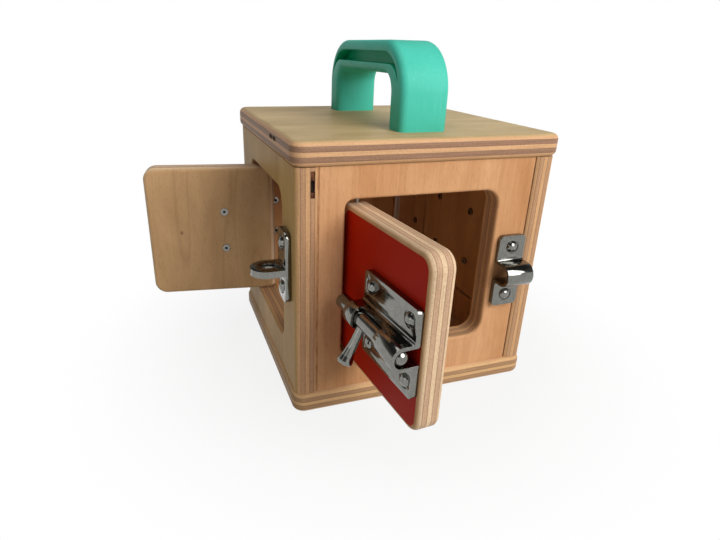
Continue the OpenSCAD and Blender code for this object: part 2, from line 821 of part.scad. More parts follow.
// Plate with a level D-shaped tongue and an oblong hole for the hook's tip
module hook_catch() {
    end_r = tongue_w / 2;
    color("silver") on_face(LEFT) difference() {
        union() {
            translate([catch_x, catch_mid_z, 0]) linear_extrude(hook_t)
                round_rect(hook_plate_w, catch_h, plate_round);
            translate([catch_x, tongue_z, 0]) rotate([90, 0, 0]) linear_extrude(tongue_t) {
                translate([-tongue_w / 2, 0]) square([tongue_w, tongue_len - end_r]);
                translate([0, tongue_len - end_r]) circle(end_r);
            }
        }
        for (p = catch_rivets) translate(p) rivet_seat(hook_t);
        translate([catch_x, tongue_z + over, hook_lift]) rotate([90, 0, 0])
            linear_extrude(tongue_t + 2 * over)
            round_rect(catch_hole_w, catch_hole_l, catch_hole_w * 0.45);
    }
}

module hook_catch_rivets() {
    color("gainsboro") on_face(LEFT) rivets(catch_rivets, hook_t);
}

// Slide latch on the right door

// Strip bent over a flat bar
module channel_section(h, t, inner, rise) {
    difference() {
        union() {
            translate([-h / 2, 0]) square([h, t]);
            translate([-inner - t, 0]) square([2 * (inner + t), rise + t]);
        }
        translate([-inner, -over]) square([2 * inner, rise + over]);
    }
}

module channel_plate(from, to, h, corner, places) {
    difference() {
        intersection() {
            translate([0, slide_z, 0]) along(from, to) channel_section(h, slide_t, channel_r, channel_h);
            translate([(from + to) / 2, slide_z, -over]) linear_extrude(channel_h + slide_t + 2 * over)
                round_rect(to - from, h, corner);
        }
        for (p = places) translate(p) rivet_seat(slide_t);
    }
}

module slide_plate() {
    slot_r = bar_stem_d / 2 + bar_play;
    color("silver") on_door(RIGHT) difference() {
        channel_plate(slide_s0, slide_s1, slide_rise + 2 * slide_margin, slide_corner, slide_rivets);
        translate([bar_knob_s, slide_z, channel_h - over / 2]) {
            for (x = [0, bar_travel]) translate([x, 0, 0]) cylinder(r = slot_r, h = slide_t + 2 * over);
            translate([0, -slot_r, 0]) cube([bar_travel, 2 * slot_r, slide_t + 2 * over]);
        }
    }
}

module slide_plate_rivets() {
    color("gainsboro") on_door(RIGHT) rivets(slide_rivets, slide_t);
}

module slide_bar() {
    nose_r = bar_w / 2;
    color("silver") on_door(RIGHT) translate([0, slide_z, bar_play]) difference() {
        linear_extrude(bar_t) {
            translate([bar_s0, -bar_w / 2]) square([bar_s1 - nose_r - bar_s0, bar_w]);
            translate([bar_s1 - nose_r, 0]) circle(nose_r);
        }
        translate([bar_knob_s, 0, -over]) cylinder(d = bar_rivet_d + 2 * snug_fit, h = bar_t + 2 * over);
    }
}

// Button knob riveted into the bar
module slide_knob() {
    stem_top = channel_h + slide_t + bar_knob_clear;
    knob_r = bar_knob_d / 2;
    color("silver") on_door(RIGHT) translate([bar_knob_s, slide_z, 0]) {
        translate([0, 0, bar_play]) cylinder(d = bar_rivet_d, h = bar_t);
        translate([0, 0, bar_play + bar_t]) cylinder(d = bar_stem_d, h = stem_top - bar_play - bar_t);
        translate([0, 0, stem_top]) rotate_extrude() polygon([
            [0, 0], [knob_r - bar_knob_edge, 0], [knob_r, bar_knob_edge], [knob_r, bar_knob_h * 0.56],
            [knob_r - bar_knob_edge, bar_knob_h * 0.8], [knob_r * 0.5, bar_knob_h * 0.94], [0, bar_knob_h]
        ]);
    }
}

module slide_keeper() {
    half = bar_keeper_w / 2;
    color("silver") on_face(RIGHT) channel_plate(bar_keeper_x - half, bar_keeper_x + half,
        small_rise + 2 * small_margin, bar_keeper_corner, slide_keeper_places);
}

module slide_keeper_rivets() {
    color("gainsboro") on_face(RIGHT) rivets(slide_keeper_places, slide_t);
}

// Hasp and turn button on the back door

// Knuckles along Y between two heights, bored for the pin
module knuckle(from, to, bore) {
    translate([0, from, hasp_lift]) rotate([-90, 0, 0]) difference() {
        cylinder(r = knuckle_r, h = to - from);
        translate([0, 0, -over]) cylinder(r = bore, h = to - from + 2 * over);
    }
}

module hasp_leaf() {
    bore = hasp_pin_d / 2 + snug_fit;
    color("silver") on_door(BACK) difference() {
        translate([hinge_s, slide_z, 0]) {
            difference() {
                translate([-leaf_len / 2, 0, 0]) linear_extrude(hasp_t)
                    round_rect(leaf_len, hasp_h, leaf_corner);
                translate([-knuckle_r - end_play, -knuckle_len / 2 - end_play, -over])
                    cube([2 * knuckle_r, knuckle_len + 2 * end_play, hasp_t + 2 * over]);
            }
            for (end = [-1, 1]) mirror([0, end < 0 ? 1 : 0, 0])
                knuckle(knuckle_len / 2 + end_play, hasp_h / 2, bore);
        }
        translate([hinge_s, slide_z - hasp_h / 2 - over, hasp_lift]) rotate([-90, 0, 0])
            cylinder(r = bore, h = hasp_h + 2 * over);
        for (p = leaf_rivets) translate(p) rivet_seat(hasp_t);
    }
}

module hasp_leaf_rivets() {
    color("gainsboro") on_door(BACK) rivets(leaf_rivets, hasp_t);
}

module hasp_pin() {
    color("silver") on_door(BACK) translate([hinge_s, slide_z - hasp_h / 2, hasp_lift]) rotate([-90, 0, 0])
        cylinder(d = hasp_pin_d, h = hasp_h);
}

// Slotted strap, swung back from the turn button
module hasp_strap() {
    len = strap_reach + strap_past;
    top = knuckle_r - hasp_t;
    neck = knuckle_r + strap_neck;
    color("silver") on_door(BACK) translate([hinge_s, slide_z, hasp_lift]) rotate([0, -strap_angle, 0])
        translate([0, 0, -hasp_lift]) difference() {
            union() {
                knuckle(-knuckle_len / 2, knuckle_len / 2, hasp_pin_d / 2 + run_fit);
                translate([0, -knuckle_len / 2, hasp_lift + top]) cube([neck + over, knuckle_len, hasp_t]);
                translate([neck + (len - neck) / 2, 0, hasp_lift + top]) linear_extrude(hasp_t)
                    round_rect(len - neck, hasp_h, strap_corner);
            }
            translate([strap_reach, 0, hasp_lift + top - over]) linear_extrude(hasp_t + 2 * over)
                round_rect(slot_w, slot_l, slot_w * 0.45);
            translate([0, -knuckle_len, hasp_lift]) rotate([-90, 0, 0])
                cylinder(r = hasp_pin_d / 2 + run_fit, h = 2 * knuckle_len);
        }
}

module staple_plate() {
    color("silver") on_face(BACK) difference() {
        translate([button_x, slide_z, 0]) linear_extrude(staple_plate_t)
            round_rect(staple_w, small_rise + 2 * (small_margin + staple_past), leaf_corner);
        for (p = staple_rivets) translate(p) rivet_seat(staple_plate_t);
        translate([button_x, slide_z, -over])
            cylinder(d = button_neck_d + 2 * run_fit, h = staple_plate_t + 2 * over);
    }
}

module staple_plate_rivets() {
    color("gainsboro") on_face(BACK) rivets(staple_rivets, staple_plate_t);
}

// Oblong button on a round neck, upright so that the strap can pass
module turn_button() {
    straight = button_len - button_w;
    color("silver") on_face(BACK) translate([button_x, slide_z, 0]) {
        cylinder(d = button_neck_d, h = button_z0);
        translate([0, 0, button_z0]) linear_extrude(button_t) {
            square([button_w, straight], center = true);
            for (end = [-1, 1]) translate([0, end * straight / 2]) circle(d = button_w);
        }
    }
}

// Handle on the lid

module handle_section() {
    round_rect(handle_w, handle_t, handle_round);
}

// Groove outline in the side of the bar, running to points in the bends
module groove_outline() {
    outer_r = handle_bend + handle_t - groove_wall;
    w = handle_len - 2 * groove_wall;
    top = handle_h - groove_wall;
    intersection() {
        difference() {
            translate([0, top - handle_h]) round_rect(w, 2 * handle_h, outer_r);
            translate([0, top - groove_h - handle_h]) round_rect(w, 2 * handle_h, outer_r - groove_h);
        }
        translate([-w / 2, groove_end]) square([w, handle_h]);
    }
}

module handle() {
    bend_z = handle_h - handle_t - handle_bend;
    bend_y = handle_len / 2 - handle_t - handle_bend;
    color("mediumaquamarine") translate([0, 0, top_z]) difference() {
        union() {
            for (end = [-1, 1]) {
                translate([0, end * leg_mid, 0]) linear_extrude(bend_z) handle_section();
                translate([0, end * bend_y, bend_z]) rotate([90, 0, end * 90])
                    rotate_extrude(angle = 90) translate([bend_mid, 0]) rotate([0, 0, 90]) handle_section();
            }
            translate([0, bend_y, handle_h - handle_t / 2]) rotate([90, 0, 0])
                linear_extrude(2 * bend_y) handle_section();
        }
        for (side = [-1, 1]) translate([side * handle_w / 2, 0, 0]) rotate([90, 0, 90])
            linear_extrude(2 * groove_deep, center = true) groove_outline();
        for (end = [-1, 1]) translate([0, end * leg_mid, -over])
            cylinder(d = screw_d + 2 * snug_fit, h = screw_in + over);
    }
}

module handle_screws() {
    color("silver") for (end = [-1, 1]) translate([0, end * leg_mid, lid_z]) {
        cylinder(d = screw_d, h = lid_t + screw_in);
        cylinder(d = screw_head_d, h = screw_head_h);
    }
}

base_panel();
lid_panel();
left_panel();
right_panel();
front_panel();
back_panel();
handle();
handle_screws();
front_door();
right_door();
back_door();
left_door();
front_door_face();
right_door_face();
back_door_face();
left_door_face();
front_hinge_pins();
right_hinge_pins();
back_hinge_pins();
left_hinge_pins();
bolt_plate();
bolt_plate_rivets();
bolt_rod();
bolt_knob();
bolt_keeper();
bolt_keeper_rivets();
hook_plate();
hook_rivet();
hook_pivot();
hook_arm();
hook_catch();
hook_catch_rivets();
slide_plate();
slide_plate_rivets();
slide_bar();
slide_knob();
slide_keeper();
slide_keeper_rivets();
hasp_leaf();
hasp_leaf_rivets();
hasp_pin();
hasp_strap();
staple_plate();
staple_plate_rivets();
turn_button();
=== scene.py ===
import json
import math

import bmesh
import bpy
from mathutils import Matrix, Vector


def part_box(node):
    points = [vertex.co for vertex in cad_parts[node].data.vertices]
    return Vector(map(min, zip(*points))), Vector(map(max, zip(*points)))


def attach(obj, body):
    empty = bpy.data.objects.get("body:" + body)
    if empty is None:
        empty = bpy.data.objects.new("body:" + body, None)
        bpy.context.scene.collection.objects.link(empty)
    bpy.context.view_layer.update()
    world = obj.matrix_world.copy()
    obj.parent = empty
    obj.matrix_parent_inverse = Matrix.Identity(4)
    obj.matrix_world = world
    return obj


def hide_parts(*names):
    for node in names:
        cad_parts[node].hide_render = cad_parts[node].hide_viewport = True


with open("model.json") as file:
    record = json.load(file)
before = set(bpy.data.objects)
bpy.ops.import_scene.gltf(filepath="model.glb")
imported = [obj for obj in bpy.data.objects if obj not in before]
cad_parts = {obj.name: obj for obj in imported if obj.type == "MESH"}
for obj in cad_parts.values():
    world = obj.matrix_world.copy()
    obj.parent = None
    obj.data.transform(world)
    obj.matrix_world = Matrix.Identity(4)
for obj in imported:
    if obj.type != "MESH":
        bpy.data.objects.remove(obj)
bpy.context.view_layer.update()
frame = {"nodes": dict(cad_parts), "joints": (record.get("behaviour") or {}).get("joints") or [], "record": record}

# Base and lid: two boards of five-ply birch, cut square and rounded over all round their edges.
# The lacquered face veneer lies left to right, and the round-over cuts through the plies, which
# show as light and dark bands.
MM = 0.001
nodes = frame["nodes"]


def linear(hex_colour):
    """An sRGB hex colour as linear red, green, blue and alpha."""
    channels = [int(hex_colour[i:i + 2], 16) / 255 for i in (1, 3, 5)]
    return [c / 12.92 if c <= 0.04045 else ((c + 0.055) / 1.055) ** 2.4 for c in channels] + [1.0]


def add(tree, kind, sockets=None, **settings):
    """Adds a shader node. Each socket takes another node's output or a constant."""
    made = tree.nodes.new("ShaderNode" + kind)
    for key, value in settings.items():
        setattr(made, key, value)
    for key, value in (sockets or {}).items():
        if isinstance(value, bpy.types.NodeSocket):
            tree.links.new(value, made.inputs[key])
        else:
            made.inputs[key].default_value = value
    return made


# The sockets of a Mix node share their names, so those for values and for colours go by number
VALUE_A, VALUE_B, COLOUR_A, COLOUR_B, COLOUR_OUT = 2, 3, 6, 7, 2
WHITE = "#FFFFFF"


def set_ramp(ramp, stops):
    """Gives a colour ramp its stops, each a place and a hex colour."""
    elements = ramp.color_ramp.elements
    while len(elements) < len(stops):
        elements.new(1.0)
    for element, (place, hex_colour) in zip(elements, stops):
        element.position = place
        element.color = linear(hex_colour)


def new_material(name):
    """A material with its node tree and its shader."""
    material = bpy.data.materials.new(name)
    material.use_nodes = True
    tree = material.node_tree
    return material, tree, tree.nodes["Principled BSDF"]


def dress(material, *names):
    """Gives a material to CAD nodes."""
    for name in names:
        nodes[name].material_slots[0].material = material


# Sizes of the figure in millimetres: across the grain, along it and through the board.
# Real flecks, pores and laminae are finer, and are drawn as coarse as they need to show.
DRIFT, STREAKS, FLECKS = (26, 90, 26), (1.1, 45, 1.1), (0.55, 3.0, 0.55)
GROWTH, PORES, LAMINAE = (30, 260, 30), (0.6, 0.6, 0.4), (24, 24, 0.35)
GROWTH_BANDS = 5.0
GROWTH_TONE, FLECK_TONE, KNOT_TONE = "#86593A", "#8E6040", "#6E462C"
KNOT_CORE, KNOT_RIM = 0.5 * MM, 1.3 * MM
KNOT_STRETCH = (1.0, 1.5, 100.0)
BOARD_T, PLIES = 12.5 * MM, 5
PLY_WAVER, GLUE_HALF = 0.3 * MM, 0.275 * MM
GLUE_TONE, PORE_TONE = "#94705A", "#DAD6D1"
SKIN_FROM, SKIN_FULL, SANDING = 5.2 * MM, 6.0 * MM, 0.6 * MM


def birch_plywood(name, middle, turn, seed, veneer, plies, figure=0.08, streak=0.3, knot=None):
    """Lacquered birch plywood in a board's own frame: X across the grain, Y along it, Z outwards.
    A slow drift of tone, streaks of a millimetre, thin growth lines, short ray flecks, satin lacquer.
    The veneer and the plies have two tones each. Figure and streak say how strong the growth lines
    and the streaks are, and knot is the place of a pin knot."""
    material, tree, shader = new_material(name)
    place = add(tree, "TexCoord").outputs["Object"]
    board = add(tree, "Mapping", {"Vector": place, "Location": middle, "Rotation": turn},
                vector_type="TEXTURE").outputs[0]

    def grain(size, detail=2.0, distortion=0.0):
        scale = [1 / (side * MM) for side in size]
        stretched = add(tree, "Mapping", {"Vector": board, "Scale": scale}).outputs[0]
        return add(tree, "TexNoise", {"Vector": stretched, "W": seed, "Scale": 1.0, "Detail": detail,
                                      "Roughness": 0.6, "Distortion": distortion},
                   noise_dimensions="4D").outputs["Fac"]

    # The face veneer
    drift = grain(DRIFT, 3.0, 0.5)
    streaks = grain(STREAKS, 3.0)
    tone = add(tree, "Mix", {"Factor": streak, VALUE_A: drift, VALUE_B: streaks}).outputs[0]
    bare = add(tree, "ValToRGB", {"Fac": tone})
    set_ramp(bare, [(0.34, veneer[0]), (0.66, veneer[1])])
    growth = add(tree, "Math", {0: grain(GROWTH, 1.0, 0.4), 1: GROWTH_BANDS},
                 operation="MULTIPLY").outputs[0]
    folded = add(tree, "Math", {0: growth, 1: 0.5}, operation="PINGPONG").outputs[0]
    line = add(tree, "MapRange", {"Value": folded, "From Max": 0.06,
                                  "To Min": figure, "To Max": 0.0}).outputs[0]
    lined = add(tree, "Mix", {"Factor": line, COLOUR_A: bare.outputs[0], COLOUR_B: linear(GROWTH_TONE)},
                data_type="RGBA").outputs[COLOUR_OUT]
    fleck = add(tree, "MapRange", {"Value": grain(FLECKS, 1.0), "From Min": 0.56, "From Max": 0.7,
                                   "To Max": 0.22}).outputs[0]
    face = add(tree, "Mix", {"Factor": fleck, COLOUR_A: lined, COLOUR_B: linear(FLECK_TONE)},
               data_type="RGBA").outputs[COLOUR_OUT]
    if knot:
        # A knot is the foot of a branch, so it is stretched right through the board
        spot = add(tree, "Mapping", {"Vector": board, "Location": (*knot, 0.0), "Scale": KNOT_STRETCH},
                   vector_type="TEXTURE").outputs[0]
        radius = add(tree, "VectorMath", {0: spot}, operation="LENGTH").outputs["Value"]
        ring = add(tree, "MapRange", {"Value": radius, "From Min": KNOT_CORE, "From Max": KNOT_RIM,
                                      "To Min": 0.6, "To Max": 0.0}).outputs[0]
        face = add(tree, "Mix", {"Factor": ring, COLOUR_A: face, COLOUR_B: linear(KNOT_TONE)},
                   data_type="RGBA").outputs[COLOUR_OUT]

    # The plies on a cut edge: the second and fourth are drawn as end grain, darker and browner
    depth = add(tree, "SeparateXYZ", {"Vector": board}).outputs["Z"]
    waver = add(tree, "MapRange", {"Value": drift, "To Min": -PLY_WAVER, "To Max": PLY_WAVER}).outputs[0]
    wavy = add(tree, "Math", {0: depth, 1: waver}, operation="ADD").outputs[0]
    share = add(tree, "MapRange", {"Value": wavy, "From Min": -BOARD_T / 2,
                                   "From Max": BOARD_T / 2}).outputs[0]
    stops = [(0.0, plies[0])]
    half = GLUE_HALF / BOARD_T
    for ply in range(1, PLIES):
        before, after = plies if ply % 2 else plies[::-1]
        joint = ply / PLIES
        stops += [(joint - half, before), (joint, GLUE_TONE), (joint + half, after)]
    bands = add(tree, "ValToRGB", {"Fac": share})
    set_ramp(bands, stops + [(1.0, plies[0])])
    pores = grain(PORES)
    cut = add(tree, "Mix", {"Factor": 0.5, VALUE_A: pores, VALUE_B: grain(LAMINAE)}).outputs[0]
    shade = add(tree, "ValToRGB", {"Fac": cut})
    set_ramp(shade, [(0.38, PORE_TONE), (0.6, WHITE)])
    edge = add(tree, "Mix", {"Factor": 1.0, COLOUR_A: bands.outputs[0], COLOUR_B: shade.outputs[0]},
               data_type="RGBA", blend_type="MULTIPLY").outputs[COLOUR_OUT]

    # Sanding wears through the veneer unevenly where the round-over begins
    out = add(tree, "Math", {0: depth}, operation="ABSOLUTE").outputs[0]
    worn = add(tree, "MapRange", {"Value": pores, "To Min": -SANDING, "To Max": SANDING}).outputs[0]
    sanded = add(tree, "Math", {0: out, 1: worn}, operation="ADD").outputs[0]
    skin = add(tree, "MapRange", {"Value": sanded, "From Min": SKIN_FROM, "From Max": SKIN_FULL}).outputs[0]
    wood = add(tree, "Mix", {"Factor": skin, COLOUR_A: edge, COLOUR_B: face},
               data_type="RGBA").outputs[COLOUR_OUT]
    tree.links.new(wood, shader.inputs["Base Color"])
    satin = add(tree, "MapRange", {"Value": streaks, "To Min": 0.38, "To Max": 0.58}).outputs[0]
    tree.links.new(satin, shader.inputs["Roughness"])
    shader.inputs["Specular IOR Level"].default_value = 0.09
    bump = add(tree, "Bump", {"Height": streaks, "Strength": 0.2, "Distance": 0.06 * MM})
    tree.links.new(bump.outputs[0], shader.inputs["Normal"])
    return material


def middle_of(name):
    """The middle of a CAD node's box."""
    low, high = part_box(name)
    return (low + high) / 2


FLAT = (0, 0, math.radians(90))
dress(birch_plywood("birch plywood base", middle_of("base_panel"), FLAT, seed=1.0,
                    veneer=("#C09068", "#DCB58E"), plies=("#DEB482", "#B48E6A")), "base_panel")
dress(birch_plywood("birch plywood lid", middle_of("lid_panel"), FLAT, seed=2.0,
                    veneer=("#A88E62", "#D0B687"), plies=("#DEB084", "#A27E66")), "lid_panel")


# Gap in the lid's core: two strips of core veneer don't meet, a common flaw in plywood.
# The round-over lays the gap open on the lid's left edge, as two short dark slots: thin blocks of torn birch whose
# dark is painted shade of the gap.
def mottled(name, dark, light, size, upright=1.0):
    """Matt, rough stuff in two tones, mottled at a size in millimetres and drawn out upright."""
    material, tree, shader = new_material(name)
    place = add(tree, "TexCoord").outputs["Object"]
    drawn = add(tree, "Mapping", {"Vector": place, "Scale": (1.0, 1.0, upright)}).outputs[0]
    spots = add(tree, "TexNoise", {"Vector": drawn, "Scale": 1 / (size * MM), "Detail": 3.0}).outputs["Fac"]
    tone = add(tree, "ValToRGB", {"Fac": spots})
    set_ramp(tone, [(0.38, dark), (0.65, light)])
    tree.links.new(tone.outputs[0], shader.inputs["Base Color"])
    shader.inputs["Roughness"].default_value = 0.85
    shader.inputs["Specular IOR Level"].default_value = 0.1
    bump = add(tree, "Bump", {"Height": spots, "Strength": 0.4, "Distance": 0.1 * MM})
    tree.links.new(bump.outputs[0], shader.inputs["Normal"])
    return material


def block(bm, low, high):
    """A box between two corners, added to a mesh."""
    verts = bmesh.ops.create_cube(bm, size=1.0)["verts"]
    bmesh.ops.scale(bm, vec=[b - a for a, b in zip(low, high)], verts=verts)
    bmesh.ops.translate(bm, vec=[(a + b) / 2 for a, b in zip(low, high)], verts=verts)


def rounded(bm, edges, width):
    """Rounds edges of a mesh."""
    bmesh.ops.bevel(bm, geom=edges, offset=width, affect="EDGES", segments=2, profile=0.5, material=-1)


def put(bm, name, body, material):
    """Makes a built mesh a piece that rides on a body."""
    mesh = bpy.data.meshes.new(name)
    bm.to_mesh(mesh)
    bm.free()
    mesh.materials.append(material)
    piece = bpy.data.objects.new(name, mesh)
    bpy.context.scene.collection.objects.link(piece)
    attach(piece, body)
    return piece


LID_GAP_H, LID_GAP_DEEP, LID_GAP_PROUD, LID_GAP_DOWN = 2.2 * MM, 0.4 * MM, 0.04 * MM, 4.3 * MM
LID_GAP_ROUND = 0.6 * MM
LID_GAP_MIDDLES = (-31.2 * MM, -39.4 * MM)
LID_GAP_LENGTHS = (7.6 * MM, 6.4 * MM)
lid_low, lid_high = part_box("lid_panel")
gap_x = lid_low.x - LID_GAP_PROUD
gap_z = lid_high.z - LID_GAP_DOWN
bm = bmesh.new()
for middle, length in zip(LID_GAP_MIDDLES, LID_GAP_LENGTHS):
    block(bm, (gap_x, middle - length / 2, gap_z - LID_GAP_H / 2),
          (gap_x + LID_GAP_DEEP, middle + length / 2, gap_z + LID_GAP_H / 2))
inward = [edge for edge in bm.edges if abs(edge.verts[0].co.x - edge.verts[1].co.x) > LID_GAP_DEEP / 2]
rounded(bm, inward, LID_GAP_ROUND)
put(bm, "lid_core_gap", "box", mottled("torn birch core in painted shade", "#1E1612", "#5A4434", 0.7))

# Four upright panels of the same plywood with their grain upright, glued and nailed together.
# The side panels run past the front and back and have rounded edges; each has a doorway cut out.
SIDES = {"front": 0, "right": 90, "back": 180, "left": 270}
PANEL_VENEERS = {"front": ("#BB8558", "#D8A67A"), "right": ("#B27C4C", "#CC9866"),
                 "back": ("#B67E50", "#D09C6C"), "left": ("#B08A52", "#CEA86C")}
PANEL_PLIES = ("#D8AA7C", "#C09672")
PANEL_SEED, PANEL_SEED_STEP = 3.3, 1.7
for number, (side, yaw) in enumerate(SIDES.items()):
    upright = (math.radians(90), 0, math.radians(yaw))
    panel = side + "_panel"
    dress(birch_plywood("birch plywood " + side, middle_of(panel), upright,
                        seed=PANEL_SEED + PANEL_SEED_STEP * number,
                        veneer=PANEL_VENEERS[side], plies=PANEL_PLIES), panel)

# Seams between the panels, where the side panels' rounded edges meet the front and back faces.
# Glue and sanding dust fill the left ones to just below the faces. The right ones are open, and a
# strip of painted shade in them shows as a thin dark line.
SEAM_DEEP, SEAM_ROUND = 1.6 * MM, 0.1 * MM
SEAM_W = {"left": 1.3 * MM, "right": 0.9 * MM}
SEAM_DOWN = {"left": 0.25 * MM, "right": 0.2 * MM}
UPRIGHT_FIBRES = 0.15
glue = mottled("glue and sanding dust", "#A67650", "#CA9A6C", 0.8, UPRIGHT_FIBRES)
seam_shade = mottled("painted shade in a seam", "#3C2214", "#643C24", 0.8, UPRIGHT_FIBRES)
SEAM_FILL = {"left": ("panel_glue_lines", glue), "right": ("panel_seam_dirt", seam_shade)}
for side, (name, material) in SEAM_FILL.items():
    side_low, side_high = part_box(side + "_panel")
    start = side_high.x - SEAM_W[side] if side == "left" else side_low.x
    down = SEAM_DOWN[side]
    bm = bmesh.new()
    for face in ("front", "back"):
        low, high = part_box(face + "_panel")
        near = low.y + down if face == "front" else high.y - down - SEAM_DEEP
        block(bm, (start, near, low.z), (start + SEAM_W[side], near + SEAM_DEEP, high.z))
    rounded(bm, bm.edges, SEAM_ROUND)
    put(bm, name, "box", material)

# Gap in the left panel's core, a flaw of the same kind, open on the panel's front edge.
# Splinters of birch fill its two ends, and its middle, a deep hole, is a dark block of painted shade.
CORE_LEFT, CORE_RIGHT = 7.7 * MM, 9.9 * MM
CORE_TOP, CORE_FOOT = 1.9 * MM, 15.1 * MM
SPLINTERS_ABOVE, SPLINTERS_BELOW = 4.6 * MM, 2.6 * MM
SPLINTERS_IN, SPLINTERS_ROUND = (0.7 * MM, 3.6 * MM), 0.3 * MM
HOLE_IN, HOLE_LAP, HOLE_ROUND = (1.3 * MM, 3.4 * MM), 0.5 * MM, 0.2 * MM
left_low, left_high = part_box("left_panel")
gap_left, gap_right = left_low.x + CORE_LEFT, left_low.x + CORE_RIGHT
gap_top, gap_foot = left_high.z - CORE_TOP, left_high.z - CORE_FOOT
hole_top, hole_foot = gap_top - SPLINTERS_ABOVE, gap_foot + SPLINTERS_BELOW
bm = bmesh.new()
for foot, top in ((hole_top, gap_top), (gap_foot, hole_foot)):
    block(bm, (gap_left, left_low.y + SPLINTERS_IN[0], foot), (gap_right, left_low.y + SPLINTERS_IN[1], top))
rounded(bm, bm.edges, SPLINTERS_ROUND)
splinters = mottled("splintered birch core", "#4A2C1E", "#8A5A40", 0.6, UPRIGHT_FIBRES)
put(bm, "panel_core_splinters", "box", splinters)
bm = bmesh.new()
block(bm, (gap_left, left_low.y + HOLE_IN[0], hole_foot - HOLE_LAP),
      (gap_right, left_low.y + HOLE_IN[1], hole_top + HOLE_LAP))
rounded(bm, bm.edges, HOLE_ROUND)
shadowed = mottled("shadowed birch core", "#0C0908", "#2C201A", 0.5, UPRIGHT_FIBRES)
put(bm, "panel_core_gap", "box", shadowed)

# Four doors of the same five-ply birch, with rounded edges and a full-round hinge edge that turns
# on two pins. The front and left ones stand open, and the left one has a pin knot.
DOOR_VENEERS = {"front": ("#BC9064", "#D8AC80"), "right": ("#B07C4C", "#CA9460"),
                "back": ("#B07C4C", "#CA9460"), "left": ("#AE885E", "#CCA478")}
DOOR_PLIES = ("#E6C8A4", "#CCA88A")
DOOR_SEED, DOOR_SEED_STEP = 21.4, 2.3
LEFT_KNOT = (56 * MM, 0.0)
hinges = {joint["child"]: joint for joint in frame["joints"] if joint["type"] == "hinge"}
door_yaw = {side: yaw + hinges[side + "_door"]["range_deg"][0] for side, yaw in SIDES.items()}
for number, side in enumerate(SIDES):
    door = side + "_door"
    turned = (math.radians(90), 0, math.radians(door_yaw[side]))
    dress(birch_plywood("birch plywood door " + side, hinges[door]["pos_m"], turned,
                        seed=DOOR_SEED + DOOR_SEED_STEP * number, veneer=DOOR_VENEERS[side], plies=DOOR_PLIES,
                        figure=0.2, streak=0.16, knot=LEFT_KNOT if side == "left" else None), door)


# Pivot pins and handle screws: bright steel, the pins cut from drawn wire and driven into the doors
# from the panels' top and bottom edges, the screws turned and put in from under the lid.
STEEL_TONE = "#8C8B87"
DRAW_MARKS = 0.6 * MM  # drawn coarser than they are, to show


def plain_steel():
    """Drawn steel wire and turned screws, dull grey with faint draw marks."""
    material, tree, shader = new_material("bright drawn steel")
    shader.inputs["Metallic"].default_value = 1.0
    shader.inputs["Base Color"].default_value = linear(STEEL_TONE)
    place = add(tree, "TexCoord").outputs["Object"]
    marks = add(tree, "TexNoise", {"Vector": place, "Scale": 1 / DRAW_MARKS, "Detail": 2.0}).outputs["Fac"]
    dull = add(tree, "MapRange", {"Value": marks, "To Min": 0.22, "To Max": 0.42}).outputs[0]
    tree.links.new(dull, shader.inputs["Roughness"])
    return material


dress(plain_steel(), "handle_screws", *[side + "_hinge_pins" for side in SIDES])


# A thin coloured sheet let into each door's outer face: calendered plastic with a soft sheen.
# The photograph shows the red one; the colours of the other three are guesses.
SHEET_CLOUD = 22 * MM
SHEET_PEBBLE = 0.8 * MM  # drawn coarser than it is, to show


def face_sheet(name, deep, bright):
    """Calendered plastic sheet, nearly even in colour, with the faint pebble of its rollers."""
    material, tree, shader = new_material(name)
    place = add(tree, "TexCoord").outputs["Object"]
    cloud = add(tree, "TexNoise", {"Vector": place, "Scale": 1 / SHEET_CLOUD, "Detail": 2.0}).outputs["Fac"]
    pebble = add(tree, "TexNoise", {"Vector": place, "Scale": 1 / SHEET_PEBBLE, "Detail": 2.0}).outputs["Fac"]
    tint = add(tree, "Mix", {"Factor": cloud, COLOUR_A: linear(deep), COLOUR_B: linear(bright)},
               data_type="RGBA").outputs[COLOUR_OUT]
    tree.links.new(tint, shader.inputs["Base Color"])
    sheen = add(tree, "MapRange", {"Value": pebble, "To Min": 0.34, "To Max": 0.48}).outputs[0]
    tree.links.new(sheen, shader.inputs["Roughness"])
    shader.inputs["Specular IOR Level"].default_value = 0.05
    bump = add(tree, "Bump", {"Height": pebble, "Strength": 0.12, "Distance": 0.05 * MM})
    tree.links.new(bump.outputs[0], shader.inputs["Normal"])
    return material


dress(face_sheet("red plastic sheet", "#AE1A05", "#C02408"), "front_door_face")
dress(face_sheet("yellow plastic sheet", "#D0991C", "#DCA628"), "right_door_face")
dress(face_sheet("green plastic sheet", "#2A703C", "#327C46"), "back_door_face")
dress(face_sheet("blue plastic sheet", "#1E5090", "#245A9C"), "left_door_face")


# Latch plates, straps and bars of pressed steel strip, bright nickel plated and riveted on.
# The strip's cut edges are tumbled, so each gets a small round that catches the light.
HAZE, STRIP_WAVES = 3 * MM, 5 * MM
STRIP_GRAIN = 0.5 * MM  # drawn coarser than it is, to show
NICKEL_DULL, NICKEL_BRIGHT = "#72726E", "#86857F"


